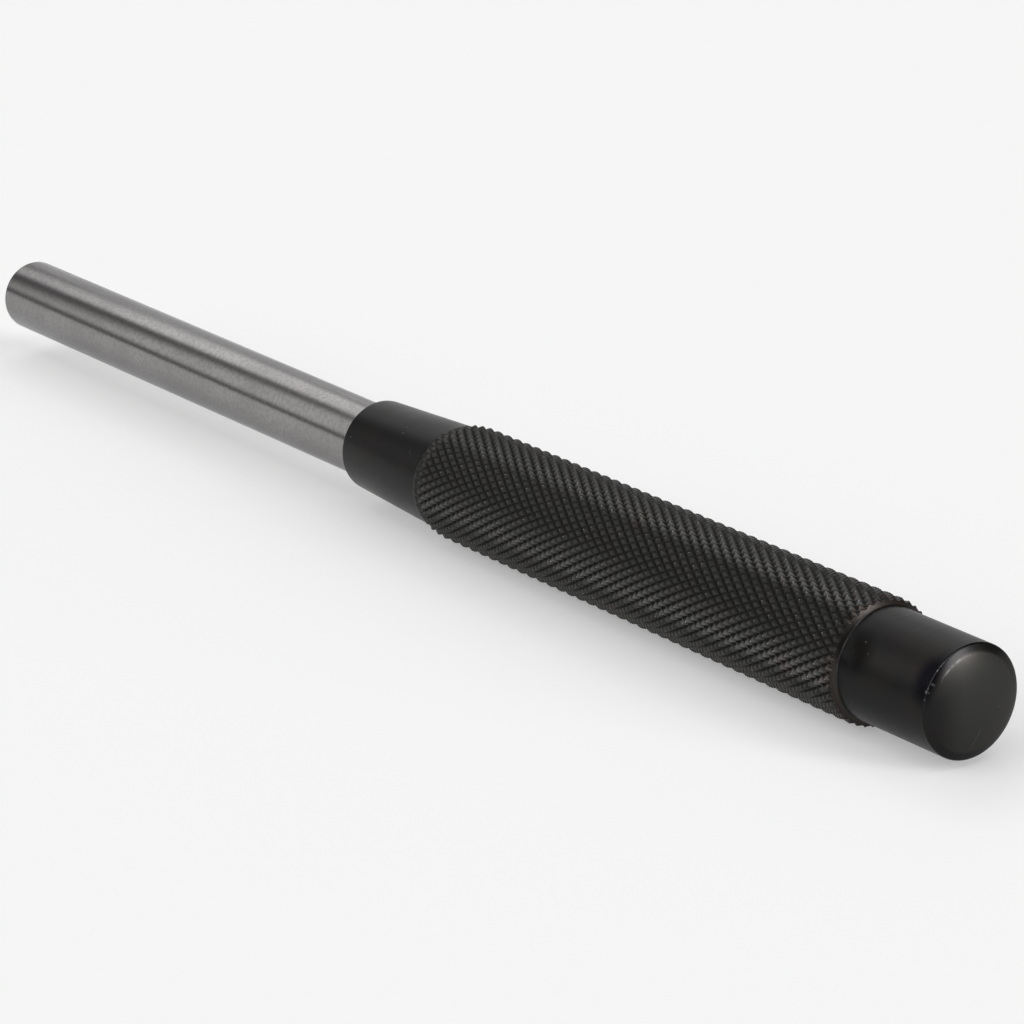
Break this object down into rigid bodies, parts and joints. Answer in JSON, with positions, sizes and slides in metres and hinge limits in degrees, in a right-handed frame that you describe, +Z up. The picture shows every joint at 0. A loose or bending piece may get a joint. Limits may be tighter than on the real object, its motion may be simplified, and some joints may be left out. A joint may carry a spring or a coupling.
{
  "type": "pin punch",
  "caption": "Parallel pin punch: a bright ground pin, its shank pressed into a black turned holder with a tapered nose, a diamond-knurled grip and a plain striking head.",
  "frame": {"origin": "centre of the flat tip face of the pin", "axes": "+X along the tool from the tip to the struck head, +Z up when the tool lies on a bench"},
  "size_m": [0.1676, 0.0126, 0.0126],
  "materials": {
    "black_oxide_steel": "turned and knurled steel with a satin black oxide finish, rubbed bright on a few edges",
    "ground_steel": "hardened steel ground round, bright satin with fine rings"
  },
  "bodies": {
    "root": {"holder": "black_oxide_steel", "pin": "ground_steel"}
  },
  "joints": []
}
